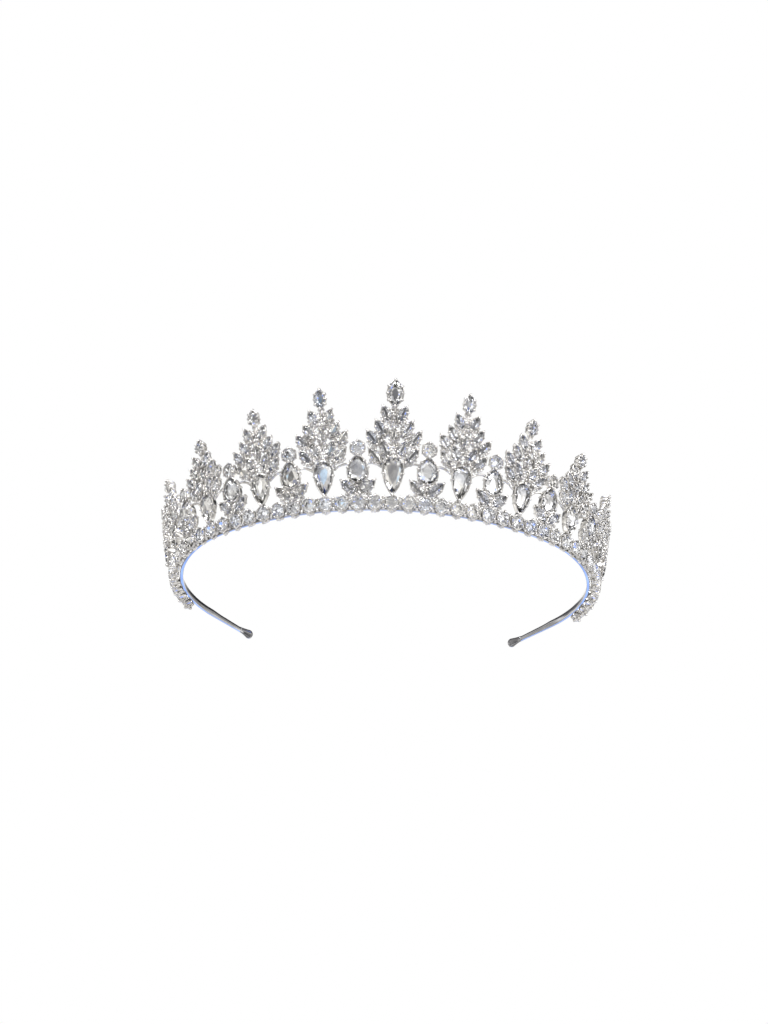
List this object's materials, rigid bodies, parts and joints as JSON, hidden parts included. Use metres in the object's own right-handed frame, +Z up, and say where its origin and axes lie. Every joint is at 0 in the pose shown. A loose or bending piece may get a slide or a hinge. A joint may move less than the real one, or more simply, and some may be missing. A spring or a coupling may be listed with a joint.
{
  "type": "bridal tiara",
  "caption": "Silver bridal tiara: an open horseshoe headband carrying a row of claw-set round crystals and a crown of pointed crystal peaks joined by lower connectors.",
  "frame": {"origin": "on the resting plane, below the middle of the tiara's whole width and depth", "axes": "+Z up; -Y towards the front of the tiara, over the wearer's forehead; +X to the right for someone facing the tiara, which is the wearer's left"},
  "size_m": [0.1594, 0.1234, 0.0397],
  "materials": {
    "band_silver": "polished silver plate",
    "tip_silver": "polished silver plate, slightly worn",
    "settings_silver": "bright silver plate on cast and wire settings",
    "crystal": "foil-backed faceted clear crystal"
  },
  "bodies": {
    "root": {"headband": "band_silver", "end_tip_left": "tip_silver", "end_tip_right": "tip_silver", "base_row_settings_left": "settings_silver", "base_row_settings_front": "settings_silver", "base_row_settings_right": "settings_silver", "base_row_stones_left": "crystal", "base_row_stones_front": "crystal", "base_row_stones_right": "crystal", "peak_centre_frame": "settings_silver", "peak_left_1_frame": "settings_silver", "peak_left_2_frame": "settings_silver", "peak_left_3_frame": "settings_silver", "peak_left_4_frame": "settings_silver", "peak_left_5_frame": "settings_silver", "peak_right_1_frame": "settings_silver", "peak_right_2_frame": "settings_silver", "peak_right_3_frame": "settings_silver", "peak_right_4_frame": "settings_silver", "peak_right_5_frame": "settings_silver", "peak_centre_stones": "crystal", "peak_left_1_stones": "crystal", "peak_left_2_stones": "crystal", "peak_left_3_stones": "crystal", "peak_left_4_stones": "crystal", "peak_left_5_stones": "crystal", "peak_right_1_stones": "crystal", "peak_right_2_stones": "crystal", "peak_right_3_stones": "crystal", "peak_right_4_stones": "crystal", "peak_right_5_stones": "crystal", "connector_left_1_frame": "settings_silver", "connector_left_2_frame": "settings_silver", "connector_left_3_frame": "settings_silver", "connector_left_4_frame": "settings_silver", "connector_right_1_frame": "settings_silver", "connector_right_2_frame": "settings_silver", "connector_right_3_frame": "settings_silver", "connector_right_4_frame": "settings_silver", "connector_left_1_stones": "crystal", "connector_left_2_stones": "crystal", "connector_left_3_stones": "crystal", "connector_left_4_stones": "crystal", "connector_right_1_stones": "crystal", "connector_right_2_stones": "crystal", "connector_right_3_stones": "crystal", "connector_right_4_stones": "crystal", "connector_left_1_link_wires": "settings_silver", "connector_left_2_link_wires": "settings_silver", "connector_left_3_link_wires": "settings_silver", "connector_left_4_link_wires": "settings_silver", "connector_right_1_link_wires": "settings_silver", "connector_right_2_link_wires": "settings_silver", "connector_right_3_link_wires": "settings_silver", "connector_right_4_link_wires": "settings_silver"}
  },
  "joints": []
}
